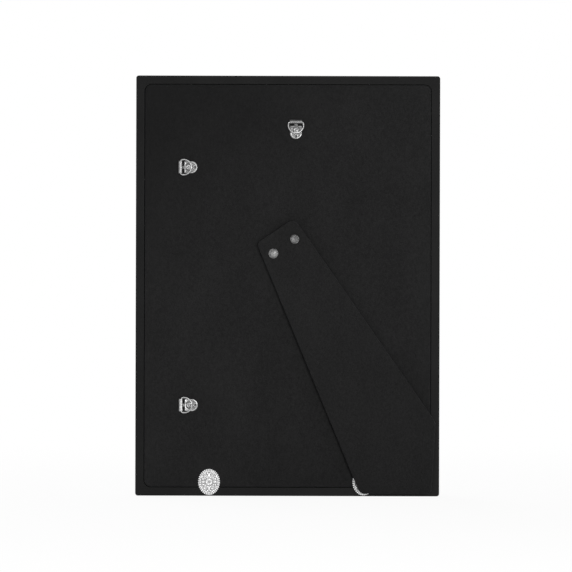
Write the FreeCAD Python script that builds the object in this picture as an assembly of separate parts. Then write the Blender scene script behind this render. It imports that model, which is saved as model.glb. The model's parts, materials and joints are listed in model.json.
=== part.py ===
import FreeCAD, Part
import math
import os
from FreeCAD import Placement, Rotation, Vector

# Easel back photo frame for an A4 picture, standing closed on its bottom edge.
# Lengths are in millimetres and angles in degrees. +Z is up, the picture faces -Y,
# and the velvet back with its leg and hanging rings faces +Y.
# The origin is the middle of the flat bottom edge of the moulding.

# Moulding, overall
frame_width = 225.0
frame_height = 311.0
frame_depth = 14.0
border_width = 6.2
outer_corner_radius = 2.0
rear_arris = 0.6
overrun = 1.0

# Moulding, front section from the outer face towards the picture
outer_bow = 2.0
outer_bow_sag = 0.3
land_width = 3.0
cove_width = 5.4
cove_depth = 3.0
cove_sag = 0.9
sight_bead_radius = 1.1

# Back panel and the layers in front of it
panel_gap = 0.4
panel_corner_radius = 5.0
panel_proud = 0.1
velvet_sheet = 0.35
back_board_thickness = 2.8
liner_sheet = 0.15
filler_thickness = 2.0
print_thickness = 0.25
glass_thickness = 2.0
glass_clearance = 0.7
print_clearance = 0.3

# Leg, as an outline seen from the back
leg_top_width = 33.1
leg_top_aside = 9.1
leg_top_height = 196.2
leg_inner_edge_angle = 22.5
leg_outer_edge_angle = 34.9
leg_foot_lift = 2.2
leg_side_foot_inset = 6.0
leg_side_shoulder_inset = 3.0
leg_top_inner_radius = 3.5
leg_top_outer_radius = 6.0
leg_shoulder_radius = 9.0
leg_outer_foot_radius = 4.2
leg_inner_foot_radius = 5.0
leg_board_thickness = 2.4

# Leg hinge
hinge_tilt = 34.0
leg_open_angle = 30.0
leg_stop_gap = 0.15
hinge_pin_radius = 0.6
hinge_fit = 0.04
hinge_sheet = 0.5
hinge_lift = 0.1
knuckle_cover_gap = 0.2
knuckle_side_gap = 0.25
knuckle_swing_gap = 0.45
leg_knuckle_width = 12.0
leaf_side_margin = 4.0
leaf_end_margin = 4.4
leaf_corner_radius = 2.5
leaf_joggle_length = 3.2
pin_end_stand = 0.3
hinge_aside = 1.2
leg_rivet_drop = 13.1
leg_rivet_spacing = 18.9
panel_rivet_drop = 12.8
panel_rivet_spacing = 10.0
roll_slit_angle = 55.0
roll_slit_opening = 40.0

# Leg rivets, with heads that show
leg_rivet_head_radius = 3.5
leg_rivet_head_height = 1.1
leg_rivet_shank_radius = 1.5
leg_rivet_tail_radius = 2.3
leg_rivet_tail_height = 0.45
leg_rivet_bore_radius = 0.9
leg_rivet_edge = 0.35
domed_head_shares = ((0, 1), (0.62, 0.78))
pressed_head_shares = ((0, 0.62), (0.4, 0.64), (0.66, 0.7), (0.82, 1))

# Rivets that pass through the back board
board_rivet_shank_radius = 1.2
board_rivet_flare_radius = 2.0
board_rivet_flare_depth = 0.8
board_rivet_bore_radius = 0.7
board_rivet_bore_depth = 1.8
rivet_fit = 0.05
hanger_rivet_head_radius = 2.1
hanger_rivet_head_height = 0.6
eyelet_head_shares = ((0, 0.6), (0.2, 0.5), (0.36, 0.25), (0.68, 1), (1, 0.2))
panel_rivet_head_radius = 2.2
panel_rivet_head_height = 0.5
panel_rivet_edge = 0.2

# Ring hangers
hanger_sheet = 0.55
strap_eye_stretch = 0.85
strap_neck_width = 1.8
strap_pad_start = 2.4
strap_end_reach = 12.1
strap_fold_reach = 8.3
strap_fold_end_radius = 3.2
strap_shoulder = 0.15
strap_step_inset = 0.2
strap_edge_round = 0.25
strap_rivet_reach = 5.7
ring_wire_radius = 0.55
ring_fit = 0.06
ring_radius = 5.6
ring_centre_reach = 2.2
ring_corner_radius = 0.85
ring_side_play = 0.1
ring_rest_gap = 0.06

# Places of the three hangers: the ring's bar, from the middle line and the nearest edges
top_hanger_aside = 5.8
top_hanger_drop = 34.6
upper_side_hanger_inset = 33.3
upper_side_hanger_drop = 67.9
lower_side_hanger_inset = 34.1
lower_side_hanger_rise = 67.1

# Oval medallions
medallion_half_width = 8.25
medallion_half_height = 9.85
medallion_bottom_lift = 0.5
medallion_left_aside = 57.8
medallion_right_aside = 56.4
medallion_scallops = 36
medallion_scallop_height = 0.75
medallion_valley_share = 0.965
medallion_wall_share = 0.93
medallion_rim_share = 0.87
medallion_rim_height = 1.15
medallion_field_share = 0.78
medallion_field_height = 0.6
medallion_crown_height = 0.95
medallion_crown_shares = (1, 0.75, 0.5, 0.2)
medallion_post_radius = 0.8
medallion_post_length = 2.2
medallion_post_spacing = 8.0
medallion_post_rise = 3.0

# Rosette, scrolls and leaves raised on each medallion
ornament_height = 1.3
rosette_petals = 8
rosette_boss_radius = 1.0
rosette_petal_radius = 0.85
rosette_petal_reach = 1.75
scroll_radius = 1.55
scroll_eye_radius = 0.75
scroll_aside = 2.55
scroll_rise = 4.35
side_leaf_start = 3.0
side_leaf_length = 2.9
end_leaf_start = 3.1
end_leaf_length = 4.0
ornament_leaf_width = 1.7

# Worked-out places
rear = frame_depth / 2
panel_rear = rear + panel_proud
board_rear = panel_rear - velvet_sheet
board_front = board_rear - back_board_thickness
liner_front = board_front - liner_sheet
filler_front = liner_front - filler_thickness
print_front = filler_front - print_thickness
glass_front = print_front - glass_thickness
front = -frame_depth / 2
pocket_half_width = frame_width / 2 - border_width
pocket_low = border_width
pocket_high = frame_height - border_width
pocket_corner_radius = panel_corner_radius + panel_gap
bead_start = outer_bow + land_width + cove_width
sight_margin = bead_start + 2 * sight_bead_radius

knuckle_radius = hinge_pin_radius + hinge_fit + hinge_sheet
hinge_axis_out = hinge_lift + knuckle_radius
leg_under = hinge_axis_out + knuckle_radius + knuckle_cover_gap
leg_swing = math.radians(leg_open_angle)
leg_top_overhang = (
    hinge_axis_out + (leg_under - hinge_axis_out) * math.cos(leg_swing) - leg_stop_gap
) / math.sin(leg_swing)
leg_board_under = leg_under + liner_sheet
leg_board_over = leg_board_under + leg_board_thickness
leg_over = leg_board_over + velvet_sheet
leg_rivet_reach = leg_rivet_drop - leg_top_overhang
leg_rivet_places = [(side * leg_rivet_spacing / 2, -leg_rivet_reach) for side in (-1, 1)]
panel_rivet_places = [
    (side * panel_rivet_spacing / 2, -panel_rivet_drop) for side in (-1, 1)
]
hinge_width = leg_rivet_spacing + 2 * leaf_side_margin
leg_leaf_length = leg_rivet_reach + leaf_end_margin
panel_leaf_length = panel_rivet_drop + leaf_end_margin

eye_radius = ring_wire_radius + ring_fit + hanger_sheet
strap_over = 2 * hanger_sheet
ring_apex = ring_centre_reach + ring_radius
ring_half_bar = math.sqrt(
    (ring_radius - ring_corner_radius) ** 2
    - (ring_centre_reach - ring_corner_radius) ** 2
)
strap_eye_width = 2 * ring_half_bar - ring_side_play
strap_width = strap_eye_width - 2 * strap_shoulder

ACROSS = Vector(1, 0, 0)
OUT = Vector(0, 1, 0)
UP = Vector(0, 0, 1)


# Outlines in the plane of the panel: points are (x, z)
def rounded_wire(points, radii):
    """A closed wire through the points, each corner rounded to its radius."""
    count = len(points)
    starts = []
    ends = []
    middles = []
    for i in range(count):
        corner = Vector(points[i][0], 0, points[i][1])
        before = Vector(points[i - 1][0], 0, points[i - 1][1])
        after = Vector(points[(i + 1) % count][0], 0, points[(i + 1) % count][1])
        to_before = (before - corner).normalize()
        to_after = (after - corner).normalize()
        half = to_before.getAngle(to_after) / 2
        setback = radii[i] / math.tan(half)
        inward = (to_before + to_after).normalize()
        starts.append(corner + to_before * setback)
        ends.append(corner + to_after * setback)
        middles.append(corner + inward * (radii[i] / math.sin(half) - radii[i]))
    edges = []
    for i in range(count):
        if radii[i] > 0:
            edges.append(Part.Arc(starts[i], middles[i], ends[i]).toShape())
        edges.append(Part.LineSegment(ends[i], starts[(i + 1) % count]).toShape())
    return Part.Wire(edges)


def plate(points, radii, low, high):
    """A flat sheet of the outline, from one place along Y to another."""
    face = Part.Face(rounded_wire(points, radii))
    face.translate(OUT * low)
    return face.extrude(OUT * (high - low))


def inset(points, distance):
    """The outline of straight edges moved inwards by the distance."""
    count = len(points)
    area = sum(
        points[i - 1][0] * points[i][1] - points[i][0] * points[i - 1][1]
        for i in range(count)
    )
    side = math.copysign(1, area)
    lines = []
    for i in range(count):
        x, z = points[i]
        along_x = points[(i + 1) % count][0] - x
        along_z = points[(i + 1) % count][1] - z
        size = math.hypot(along_x, along_z)
        normal = (-along_z / size * side, along_x / size * side)
        offset = normal[0] * x + normal[1] * z + distance
        lines.append((normal, offset))
    moved = []
    for i in range(count):
        (a, b), p = lines[i - 1]
        (c, d), q = lines[i]
        cross = a * d - b * c
        moved.append(((p * d - q * b) / cross, (a * q - c * p) / cross))
    return moved


def rectangle(half_width, low, high):
    return [(-half_width, low), (half_width, low), (half_width, high), (-half_width, high)]


def centred_sheet(clearance, low, high):
    """A sheet that lies in the pocket with the clearance all round."""
    outline = rectangle(
        pocket_half_width - clearance, pocket_low + clearance, pocket_high - clearance
    )
    return plate(outline, [pocket_corner_radius - clearance] * 4, low, high)


# Pieces made about a bar: X runs along the bar, -Z is forward and +Y is out
def bar(radius, start, end, out):
    return Part.makeCylinder(radius, end - start, Vector(start, out, 0), ACROSS)


def side_shape(points, start, end):
    """A side view of (forward, out) points, drawn from one place on X to another."""
    corners = [Vector(start, out, -forward) for forward, out in points]
    return Part.Face(Part.makePolygon(corners + corners[:1])).extrude(
        ACROSS * (end - start)
    )


def stretched_bar(radius, stretch, span, out):
    """A bar drawn out backwards by the stretch, with half round ends."""
    start, end = span
    front_end = bar(radius, start, end, out)
    if stretch == 0:
        return front_end
    sides = [(-stretch, out - radius), (0, out - radius), (0, out + radius), (-stretch, out + radius)]
    return front_end.fuse([side_shape(sides, start, end), front_end.translated(UP * stretch)])


def rolled_eye(inner, sheet, span, out, slit_middle, stretch=0):
    """Sheet rolled round a bar, with the slit where the roll stops short."""
    start, end = span
    reach = (inner + sheet) * 2
    slit = [(0, out)]
    for angle in (slit_middle - roll_slit_opening / 2, slit_middle + roll_slit_opening / 2):
        turn = math.radians(angle)
        slit.append((reach * math.cos(turn), out + reach * math.sin(turn)))
    tube = stretched_bar(inner + sheet, stretch, span, out)
    tube = tube.cut(stretched_bar(inner, stretch, span, out))
    return tube.cut(side_shape(slit, start, end))


def turned(profile, x, z):
    """A solid of revolution about the line that points out at x, z."""
    return profile.revolve(Vector(0, 0, 0), OUT, 360).translated(Vector(x, 0, z))


def profile_face(edges):
    return Part.Face(Part.Wire(edges))


def line(a, b):
    return Part.LineSegment(Vector(a[0], a[1], 0), Vector(b[0], b[1], 0)).toShape()


def arc(a, b, c):
    return Part.Arc(*[Vector(p[0], p[1], 0) for p in (a, b, c)]).toShape()


def placed(shape, place):
    moved = shape.copy()
    moved.Placement = place.multiply(moved.Placement)
    return moved


# Rivets: heads are drawn above the sheet that they hold, at height 0
def head_points(shares, radius, height):
    return [(radius * across, height * up) for across, up in shares]


def eyelet_head(radius, height):
    """A rolled head with a sunk middle and a small pip, as edges from the axis out."""
    pip, slope, valley, crest, rim = head_points(eyelet_head_shares, radius, height)
    return [arc(pip, slope, valley), arc(valley, crest, rim), line(rim, (radius, 0))]


def domed_head(radius, height, edge):
    """A smooth low dome."""
    top, slope = head_points(domed_head_shares, radius, height)
    rim = (radius, edge)
    return [arc(top, slope, rim), line(rim, (radius, 0))]


def pressed_head(radius, height, edge):
    """A head with a raised rim round a face that the setting tool pressed in."""
    face, slope, rim_foot, rim_top = head_points(pressed_head_shares, radius, height)
    rim = (radius, edge)
    return [arc(face, slope, rim_foot), arc(rim_foot, rim_top, rim), line(rim, (radius, 0))]


def flared_rivet(head, head_radius, grip):
    """A rivet whose flared tail ends flush at the depth of the grip."""
    flare_top = board_rivet_flare_depth - grip
    edges = head + [
        line((head_radius, 0), (board_rivet_shank_radius, 0)),
        line((board_rivet_shank_radius, 0), (board_rivet_shank_radius, flare_top)),
        line((board_rivet_shank_radius, flare_top), (board_rivet_flare_radius, -grip)),
        line((board_rivet_flare_radius, -grip), (board_rivet_bore_radius, -grip)),
        line(
            (board_rivet_bore_radius, -grip),
            (board_rivet_bore_radius, board_rivet_bore_depth - grip),
        ),
        line(
            (board_rivet_bore_radius, board_rivet_bore_depth - grip),
            (0, board_rivet_bore_depth - grip),
        ),
        line((0, board_rivet_bore_depth - grip), (0, head[0].Vertexes[0].Point.y)),
    ]
    return profile_face(edges)


def flared_hole(grip):
    """The hole for a flared rivet, from above the sheets down to the grip."""
    shank = board_rivet_shank_radius + rivet_fit
    flare = board_rivet_flare_radius + rivet_fit
    flare_top = board_rivet_flare_depth - grip
    edges = [
        line((0, overrun), (shank, overrun)),
        line((shank, overrun), (shank, flare_top)),
        line((shank, flare_top), (flare, -grip)),
        line((flare, -grip), (0, -grip)),
        line((0, -grip), (0, overrun)),
    ]
    return profile_face(edges)


# Moulding
def moulding_section(start):
    """Edges of the section, drawn at one place on X, from its outer face inwards."""

    def at(inward, along):
        return Vector(start, along, inward)

    def run(a, b):
        return Part.LineSegment(a, b).toShape()

    def bow(a, b, c):
        return Part.Arc(a, b, c).toShape()

    cove_start = outer_bow + land_width
    cove_floor = front + cove_depth
    bow_middle = outer_bow / 2 - outer_bow_sag * math.sqrt(0.5)
    outer_low = at(0, front + outer_bow)
    outer_high = at(outer_bow, front)
    land_end = at(cove_start, front)
    cove_end = at(bead_start, cove_floor)
    bead_end = at(sight_margin, cove_floor)
    sight_end = at(sight_margin, rear)
    rear_end = at(rear_arris, rear)
    rear_start = at(0, rear - rear_arris)
    outer_middle = at(bow_middle, front + bow_middle)
    cove_middle = at(cove_start + cove_width / 2, front + cove_depth / 2 + cove_sag)
    bead_top = at(bead_start + sight_bead_radius, cove_floor - sight_bead_radius)
    return [
        bow(outer_low, outer_middle, outer_high),
        run(outer_high, land_end),
        bow(land_end, cove_middle, cove_end),
        bow(cove_end, bead_top, bead_end),
        run(bead_end, sight_end),
        run(sight_end, rear_end),
        run(rear_end, rear_start),
        run(rear_start, outer_low),
    ]


def moulding_side(length):
    """One mitred side, its outer face at z 0, facing down, centred on X."""
    section = Part.Face(Part.Wire(moulding_section(-length / 2)))
    side = section.extrude(ACROSS * length)
    mitre = [
        (-length / 2, 0),
        (length / 2, 0),
        (length / 2 - sight_margin, sight_margin),
        (-length / 2 + sight_margin, sight_margin),
    ]
    return side.common(plate(mitre, [0] * 4, front - overrun, rear + overrun))


def frame_moulding():
    middle = Vector(0, 0, frame_height / 2)
    to_middle = Placement(middle * -1, Rotation())
    sides = []
    for turn, length, reach in (
        (0, frame_width, frame_height / 2),
        (90, frame_height, frame_width / 2),
    ):
        side = moulding_side(length)
        side.translate(UP * (frame_height / 2 - reach))
        for angle in (turn, turn + 180):
            about_middle = Placement(middle, Rotation(OUT, angle)).multiply(to_middle)
            sides.append(placed(side, about_middle))
    ring = sides[0].fuse(sides[1:]).removeSplitter()
    outline = rectangle(frame_width / 2, 0, frame_height)
    ring = ring.common(
        plate(outline, [outer_corner_radius] * 4, front - overrun, rear + overrun)
    )
    return ring.cut(centred_sheet(0, glass_front, rear + overrun))


# Leg outline, seen from the back: its foot corner lies towards -X
def leg_outline():
    tilt = math.radians(hinge_tilt)
    half = leg_top_width / 2
    inner_top = (
        leg_top_aside + half * math.cos(tilt),
        leg_top_height - half * math.sin(tilt),
    )
    outer_top = (
        leg_top_aside - half * math.cos(tilt),
        leg_top_height + half * math.sin(tilt),
    )
    inner_slope = math.tan(math.radians(leg_inner_edge_angle))
    inner_foot = inner_top[0] - (inner_top[1] - leg_foot_lift) * inner_slope
    shoulder = leg_side_shoulder_inset - frame_width / 2
    outer_slope = math.tan(math.radians(leg_outer_edge_angle))
    shoulder_height = outer_top[1] - (outer_top[0] - shoulder) / outer_slope
    return [
        inner_top,
        outer_top,
        (shoulder, shoulder_height),
        (leg_side_foot_inset - frame_width / 2, leg_foot_lift),
        (inner_foot, leg_foot_lift),
    ]


leg_radii = [
    leg_top_inner_radius,
    leg_top_outer_radius,
    leg_shoulder_radius,
    leg_outer_foot_radius,
    leg_inner_foot_radius,
]


def hinge_place():
    """Where the hinge stands: on the panel, under the leg, turned to the leg's top edge."""
    tilt = math.radians(hinge_tilt)
    x = leg_top_aside - leg_top_overhang * math.sin(tilt) + hinge_aside * math.cos(tilt)
    z = leg_top_height - leg_top_overhang * math.cos(tilt) - hinge_aside * math.sin(tilt)
    return Placement(Vector(x, panel_rear, z), Rotation(OUT, hinge_tilt))


def leaf_plate(length, low, high):
    half = hinge_width / 2
    outline = [(-half, 0), (half, 0), (half, -length), (-half, -length)]
    radii = [0, 0, leaf_corner_radius, leaf_corner_radius]
    return plate(outline, radii, low, high)


def knuckle_spans():
    """Spans of the leg leaf's knuckle and of the panel leaf's two, along the pin."""
    middle = leg_knuckle_width / 2
    outer = middle + knuckle_side_gap
    end = hinge_width / 2
    return [(-middle, middle)], [(-end, -outer), (outer, end)]


def notch(spans, low, high):
    """Room in one leaf for the other leaf's knuckles as the hinge swings."""
    depth = knuckle_radius + knuckle_swing_gap
    tools = []
    for start, end in spans:
        start -= knuckle_side_gap
        end += knuckle_side_gap
        corners = [(start, overrun), (end, overrun), (end, -depth), (start, -depth)]
        tools.append(plate(corners, [0] * 4, low - overrun, high + overrun))
    return tools


def hinge_panel_leaf():
    middle_span, end_spans = knuckle_spans()
    leaf = leaf_plate(panel_leaf_length, 0, hinge_sheet).cut(
        notch(middle_span, 0, hinge_sheet)
    )
    inner = hinge_pin_radius + hinge_fit
    eyes = [
        rolled_eye(inner, hinge_sheet, span, hinge_axis_out, -roll_slit_angle)
        for span in end_spans
    ]
    leaf = leaf.fuse(eyes)
    pin_room = bar(inner, -hinge_width / 2, hinge_width / 2, hinge_axis_out)
    leaf = leaf.cut(pin_room)
    hole = board_rivet_shank_radius + rivet_fit
    for x, z in panel_rivet_places:
        leaf = leaf.cut(Part.makeCylinder(hole, hinge_sheet, Vector(x, 0, z), OUT))
    return leaf.removeSplitter()


def hinge_leg_leaf():
    middle_span, end_spans = knuckle_spans()
    low = leg_under - hinge_sheet
    leaf = leaf_plate(leg_leaf_length, low, leg_under)
    start, end = middle_span[0]
    knuckle_top = hinge_axis_out + knuckle_radius
    joggle = [
        (0, knuckle_top - hinge_sheet),
        (0, knuckle_top),
        (leaf_joggle_length, leg_under),
        (leaf_joggle_length, low),
    ]
    above = [
        (0, knuckle_top),
        (0, leg_under),
        (leaf_joggle_length, leg_under),
    ]
    leaf = leaf.cut(notch(end_spans, low, leg_under))
    leaf = leaf.cut(side_shape(above, start, end))
    inner = hinge_pin_radius + hinge_fit
    eye = rolled_eye(inner, hinge_sheet, (start, end), hinge_axis_out, roll_slit_angle)
    leaf = leaf.fuse([side_shape(joggle, start, end), eye])
    leaf = leaf.cut(bar(inner, start, end, hinge_axis_out))
    hole = leg_rivet_shank_radius + rivet_fit
    for x, z in leg_rivet_places:
        leaf = leaf.cut(Part.makeCylinder(hole, hinge_sheet, Vector(x, low, z), OUT))
    return leaf.removeSplitter()


def hinge_pin():
    half = hinge_width / 2 + pin_end_stand
    return bar(hinge_pin_radius, -half, half, hinge_axis_out)


def leg_rivet(head):
    """A tubular rivet through the leg, its tail spread under the hinge leaf."""
    grip = leg_over - leg_under + hinge_sheet
    tail = -grip - leg_rivet_tail_height
    middle = -grip - leg_rivet_tail_height / 2
    edges = head + [
        line((leg_rivet_head_radius, 0), (leg_rivet_shank_radius, 0)),
        line((leg_rivet_shank_radius, 0), (leg_rivet_shank_radius, -grip)),
        line((leg_rivet_shank_radius, -grip), (leg_rivet_tail_radius, -grip)),
        arc(
            (leg_rivet_tail_radius, -grip),
            ((leg_rivet_tail_radius + leg_rivet_bore_radius) / 2, tail),
            (leg_rivet_bore_radius, middle),
        ),
        line((leg_rivet_bore_radius, middle), (leg_rivet_bore_radius, -grip / 2)),
        line((leg_rivet_bore_radius, -grip / 2), (0, -grip / 2)),
        line((0, -grip / 2), (0, head[0].Vertexes[0].Point.y)),
    ]
    return profile_face(edges)


# Leg, drawn in place on the frame
def leg_layers():
    """The leg's lining, board and velvet, each with room for the two rivets."""
    outer = leg_outline()
    inner = inset(outer, velvet_sheet)
    inner_radii = [radius - velvet_sheet for radius in leg_radii]
    under = panel_rear + leg_under
    board_low = panel_rear + leg_board_under
    board_high = panel_rear + leg_board_over
    over = panel_rear + leg_over
    lining = plate(inner, inner_radii, under, board_low)
    board = plate(inner, inner_radii, board_low, board_high)
    velvet = plate(outer, leg_radii, under, over).cut(
        plate(inner, inner_radii, under - overrun, board_high)
    )
    holes = []
    for x, z in leg_rivet_places:
        hole = Part.makeCylinder(
            leg_rivet_shank_radius + rivet_fit,
            leg_over - leg_under + 2 * overrun,
            Vector(x, leg_under - overrun, z),
            OUT,
        )
        holes.append(placed(hole, hinge_place()))
    return lining.cut(holes), board.cut(holes), velvet.cut(holes)


# Ring hangers
def strap_outline(reach, width):
    """A tongue from the pad's start to a full round end."""
    half = width / 2
    return [
        (-half, -strap_pad_start),
        (half, -strap_pad_start),
        (half, -reach),
        (-half, -reach),
    ]


def strap():
    """Folded strap: an eye for the ring, a narrow neck and a pad of a short layer on a long one."""
    low_layer = plate(
        strap_outline(strap_end_reach, strap_width),
        [0, 0, strap_width / 2 - strap_edge_round, strap_width / 2 - strap_edge_round],
        0,
        hanger_sheet,
    )
    step_width = strap_width - 2 * strap_step_inset
    high_layer = plate(
        strap_outline(strap_fold_reach, step_width),
        [strap_edge_round, strap_edge_round, strap_fold_end_radius, strap_fold_end_radius],
        hanger_sheet,
        strap_over,
    )
    half_neck = strap_neck_width / 2
    neck_outline = [
        (-half_neck, 0),
        (half_neck, 0),
        (half_neck, -strap_pad_start - strap_edge_round),
        (-half_neck, -strap_pad_start - strap_edge_round),
    ]
    neck = plate(neck_outline, [0] * 4, 0, hanger_sheet)
    half_eye = strap_eye_width / 2
    inner = ring_wire_radius + ring_fit
    eye = rolled_eye(
        inner,
        hanger_sheet,
        (-half_eye, half_eye),
        eye_radius,
        -roll_slit_angle,
        strap_eye_stretch,
    )
    body = low_layer.fuse([high_layer, neck, eye])
    body = body.cut(bar(inner, -half_eye, half_eye, eye_radius)).removeSplitter()
    hole = Part.makeCylinder(
        board_rivet_shank_radius + rivet_fit,
        strap_over,
        Vector(0, 0, -strap_rivet_reach),
        OUT,
    )
    return body.cut(hole)


def ring_rest_tilt():
    """The angle at which the ring lies on its rivet's head, above the strap."""
    wire = strap_over + hanger_rivet_head_height + ring_rest_gap + ring_wire_radius
    return math.degrees(math.asin((wire - eye_radius) / ring_apex))


def ring_swing():
    """How far the ring turns over, from its rest to the panel on the other side."""
    reach = ring_apex + ring_wire_radius
    drop = math.asin((eye_radius - ring_wire_radius - ring_rest_gap) / reach)
    return 180 - ring_rest_tilt() + math.degrees(drop)


def ring():
    """A round wire ring with one straight side, which turns in the strap's eye."""
    corner = Vector(ring_half_bar, 0, -ring_corner_radius)
    centre = Vector(0, 0, -ring_centre_reach)
    bend = math.degrees((corner - centre).getAngle(UP))
    start = Vector(ring_half_bar, 0, 0)
    section = Part.Face(Part.Wire(Part.Circle(start, ACROSS, ring_wire_radius).toShape()))
    right_corner = section.revolve(corner, OUT, bend)
    section.rotate(corner, OUT, bend)
    round_side = section.revolve(centre, OUT, 360 - 2 * bend)
    left_corner = right_corner.mirror(Vector(0, 0, 0), ACROSS)
    straight = bar(ring_wire_radius, -ring_half_bar, ring_half_bar, 0)
    whole = straight.fuse([right_corner, round_side, left_corner]).removeSplitter()
    return placed(whole, Placement(OUT * eye_radius, Rotation(ACROSS, ring_rest_tilt())))


def hanger_place(aside, height, turn):
    return Placement(Vector(aside, panel_rear, height), Rotation(OUT, turn))


hangers = {
    "top_hanger": hanger_place(-top_hanger_aside, frame_height - top_hanger_drop, 0),
    "upper_side_hanger": hanger_place(
        frame_width / 2 - upper_side_hanger_inset, frame_height - upper_side_hanger_drop, 90
    ),
    "lower_side_hanger": hanger_place(
        frame_width / 2 - lower_side_hanger_inset, lower_side_hanger_rise, 90
    ),
}


# Medallions, drawn round the origin with their backs at height 0
def oval_point(share, angle, height):
    return Vector(
        medallion_half_width * share * math.cos(angle),
        height,
        medallion_half_height * share * math.sin(angle),
    )


def oval(share, height):
    """An oval outline of the medallion's proportions, in four quarter arcs."""
    quarter = math.pi / 2
    ellipse = Part.Ellipse(
        oval_point(share, quarter, height), oval_point(share, 0, height), OUT * height
    )
    return Part.Wire([ellipse.toShape(i * quarter, (i + 1) * quarter) for i in range(4)])


def scalloped_edge():
    """A low plate with a round scallop for each bead of the border."""
    step = 2 * math.pi / medallion_scallops
    scallops = [
        Part.Arc(
            oval_point(medallion_valley_share, i * step, 0),
            oval_point(1, (i + 0.5) * step, 0),
            oval_point(medallion_valley_share, (i + 1) * step, 0),
        ).toShape()
        for i in range(medallion_scallops)
    ]
    return Part.Face(Part.Wire(scallops)).extrude(OUT * medallion_scallop_height)


def ornament_leaf(start, length, angle):
    """A pointed leaf that lies along a line from the middle, at its angle from upright."""
    low = medallion_field_height / 2
    root = Vector(0, low, start)
    tip = Vector(0, low, start + length)
    belly = start + length / 2
    right = Part.Arc(root, Vector(ornament_leaf_width / 2, low, belly), tip).toShape()
    left = Part.Arc(tip, Vector(-ornament_leaf_width / 2, low, belly), root).toShape()
    leaf = Part.Face(Part.Wire([right, left])).extrude(OUT * (ornament_height - low))
    return placed(leaf, Placement(Vector(0, 0, 0), Rotation(OUT, angle)))


def ornament():
    """A rosette with a scroll in each quarter and a leaf on each side."""
    low = medallion_field_height / 2
    rise = ornament_height - low

    def disc(radius, x, z):
        return Part.makeCylinder(radius, rise, Vector(x, low, z), OUT)

    pieces = [disc(rosette_boss_radius, 0, 0)]
    for i in range(rosette_petals):
        turn = 2 * math.pi * i / rosette_petals
        x = rosette_petal_reach * math.sin(turn)
        z = rosette_petal_reach * math.cos(turn)
        pieces.append(disc(rosette_petal_radius, x, z))
    for x in (-scroll_aside, scroll_aside):
        for z in (-scroll_rise, scroll_rise):
            pieces.append(disc(scroll_radius, x, z).cut(disc(scroll_eye_radius, x, z)))
    for angle in (0, 180):
        pieces.append(ornament_leaf(end_leaf_start, end_leaf_length, angle))
    for angle in (90, 270):
        pieces.append(ornament_leaf(side_leaf_start, side_leaf_length, angle))
    return pieces


def medallion():
    """An oval with a scalloped border, a rim, a crowned field and two posts behind."""
    rings = [oval(medallion_wall_share, 0), oval(medallion_wall_share, medallion_scallop_height)]
    rings.append(oval(medallion_rim_share, medallion_rim_height))
    rise = medallion_crown_height - medallion_field_height
    for share in medallion_crown_shares:
        height = medallion_field_height + rise * (1 - share ** 2)
        rings.append(oval(medallion_field_share * share, height))
    disc = Part.makeLoft(rings, True, True)
    posts = [
        Part.makeCylinder(
            medallion_post_radius,
            medallion_post_length,
            Vector(side * medallion_post_spacing / 2, -medallion_post_length, medallion_post_rise),
            OUT,
        )
        for side in (-1, 1)
    ]
    return disc.fuse([scalloped_edge()] + ornament() + posts)


def medallion_place(aside):
    height = medallion_bottom_lift + medallion_half_height
    return Placement(Vector(aside, panel_rear, height), Rotation())


medallions = {
    "left_medallion": medallion_place(medallion_left_aside),
    "right_medallion": medallion_place(-medallion_right_aside),
}


# Holes in the back board and its velvet
def panel_holes():
    depth = panel_rear - board_front
    tools = []
    for place in hangers.values():
        tools.append(placed(turned(flared_hole(depth), 0, -strap_rivet_reach), place))
    for x, z in panel_rivet_places:
        tools.append(placed(turned(flared_hole(depth), x, z), hinge_place()))
    for place in medallions.values():
        for side in (-1, 1):
            post = Part.makeCylinder(
                medallion_post_radius + rivet_fit,
                medallion_post_length + rivet_fit + overrun,
                Vector(
                    side * medallion_post_spacing / 2,
                    -medallion_post_length - rivet_fit,
                    medallion_post_rise,
                ),
                OUT,
            )
            tools.append(placed(post, place))
    return tools


def back_layers():
    """Lining, board and velvet of the back panel; the velvet wraps the edges."""
    wrap = panel_gap + velvet_sheet
    holes = panel_holes()
    lining = centred_sheet(wrap, liner_front, board_front)
    board = centred_sheet(wrap, board_front, board_rear).cut(holes)
    velvet = centred_sheet(panel_gap, liner_front, panel_rear).cut(
        centred_sheet(wrap, liner_front - overrun, board_rear)
    )
    return lining, board, velvet.cut(holes)


# The whole frame, node by node
nodes = {"frame_moulding": frame_moulding()}
nodes["glass_pane"] = centred_sheet(glass_clearance, glass_front, print_front)
nodes["picture_insert"] = centred_sheet(
    glass_clearance + print_clearance, print_front, filler_front
)
nodes["filler_card"] = centred_sheet(
    glass_clearance + print_clearance, filler_front, liner_front
)
nodes["back_lining"], nodes["back_board"], nodes["back_velvet"] = back_layers()
nodes["leg_lining"], nodes["leg_board"], nodes["leg_velvet"] = leg_layers()

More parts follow.
